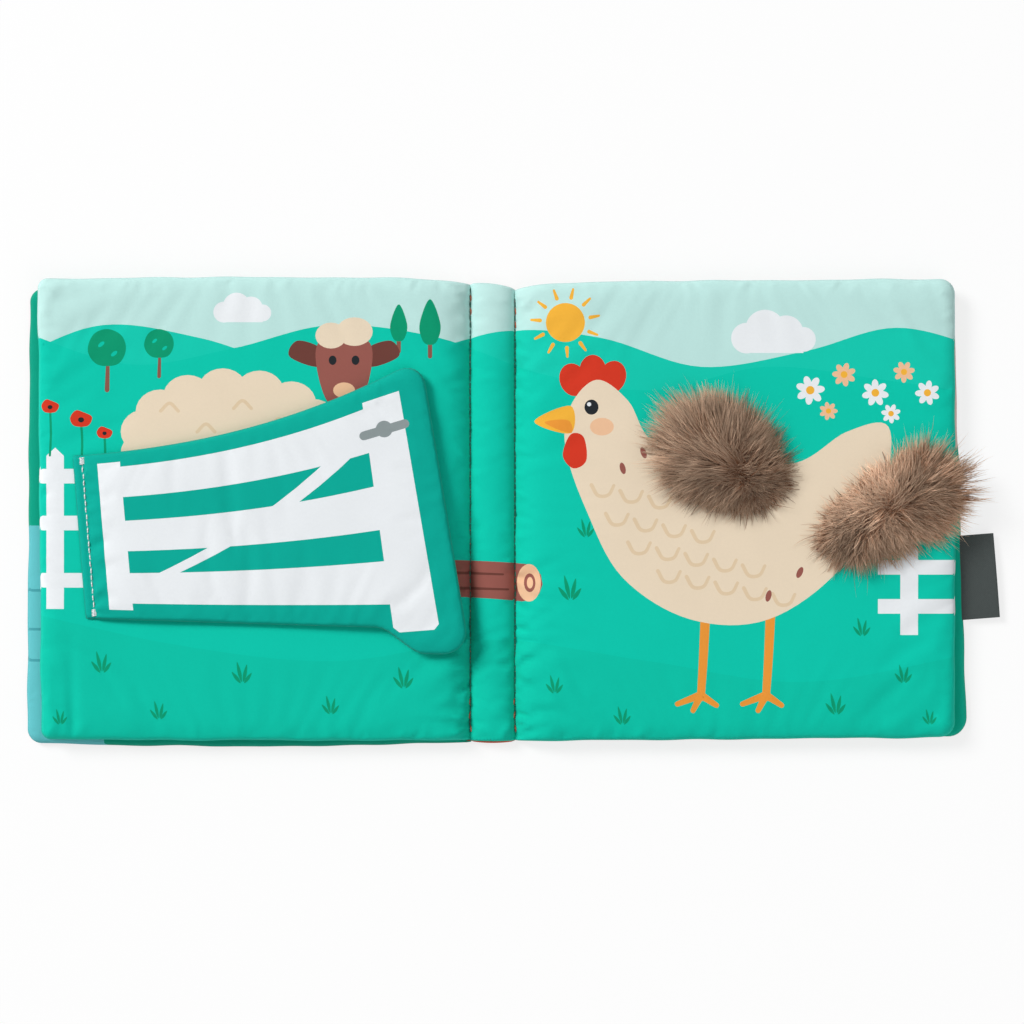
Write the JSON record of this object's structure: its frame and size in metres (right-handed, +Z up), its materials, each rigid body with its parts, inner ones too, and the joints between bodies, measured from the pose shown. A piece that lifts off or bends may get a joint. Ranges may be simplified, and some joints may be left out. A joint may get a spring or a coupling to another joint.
{
  "type": "cloth book",
  "caption": "Padded square cloth book lying open at its centre spread, with a lift-up gate flap, long-pile fur tufts to stroke and a folded woven label at its edge.",
  "frame": {"origin": "on the table, under the middle of the spine", "axes": "+X across the spread to the right page, +Y up the page to its top edge, +Z up off the table"},
  "size_m": [0.375, 0.178, 0.0246],
  "materials": {
    "cover_cloth": "matte woven polyester",
    "page_cloth": "matte printed polyester",
    "flap_cloth": "matte printed polyester",
    "green_thread": "twisted thread",
    "white_thread": "twisted thread",
    "fur": "long-pile faux fur",
    "label_ribbon": "woven satin ribbon"
  },
  "bodies": {
    "spine": {"spine_cover": "cover_cloth", "spine_strip": "page_cloth", "left_spine_stitches": "green_thread", "right_spine_stitches": "green_thread"},
    "front_half": {"front_cover": "cover_cloth", "left_page": "page_cloth", "flap_hem": "flap_cloth", "flap_stitches": "white_thread"},
    "back_half": {"back_cover": "cover_cloth", "right_page": "page_cloth", "fur_mane": "fur", "fur_tail": "fur", "woven_label": "label_ribbon"},
    "flap": {"gate_flap": "flap_cloth"}
  },
  "joints": [
    {"name": "front_cover_hinge", "type": "hinge", "parent": "spine", "child": "front_half", "pos_m": [-0.00865, 0, 0.00345], "axis": [0, 1, 0], "range_deg": [0, 76]},
    {"name": "back_cover_hinge", "type": "hinge", "parent": "spine", "child": "back_half", "pos_m": [0.00865, 0, 0.00345], "axis": [0, -1, 0], "range_deg": [0, 80]},
    {"name": "flap_hinge", "type": "hinge", "parent": "front_half", "child": "flap", "pos_m": [-0.15505, -0.0104, 0.01205], "axis": [0.0802, -0.9968, 0], "range_deg": [0, 165]}
  ]
}
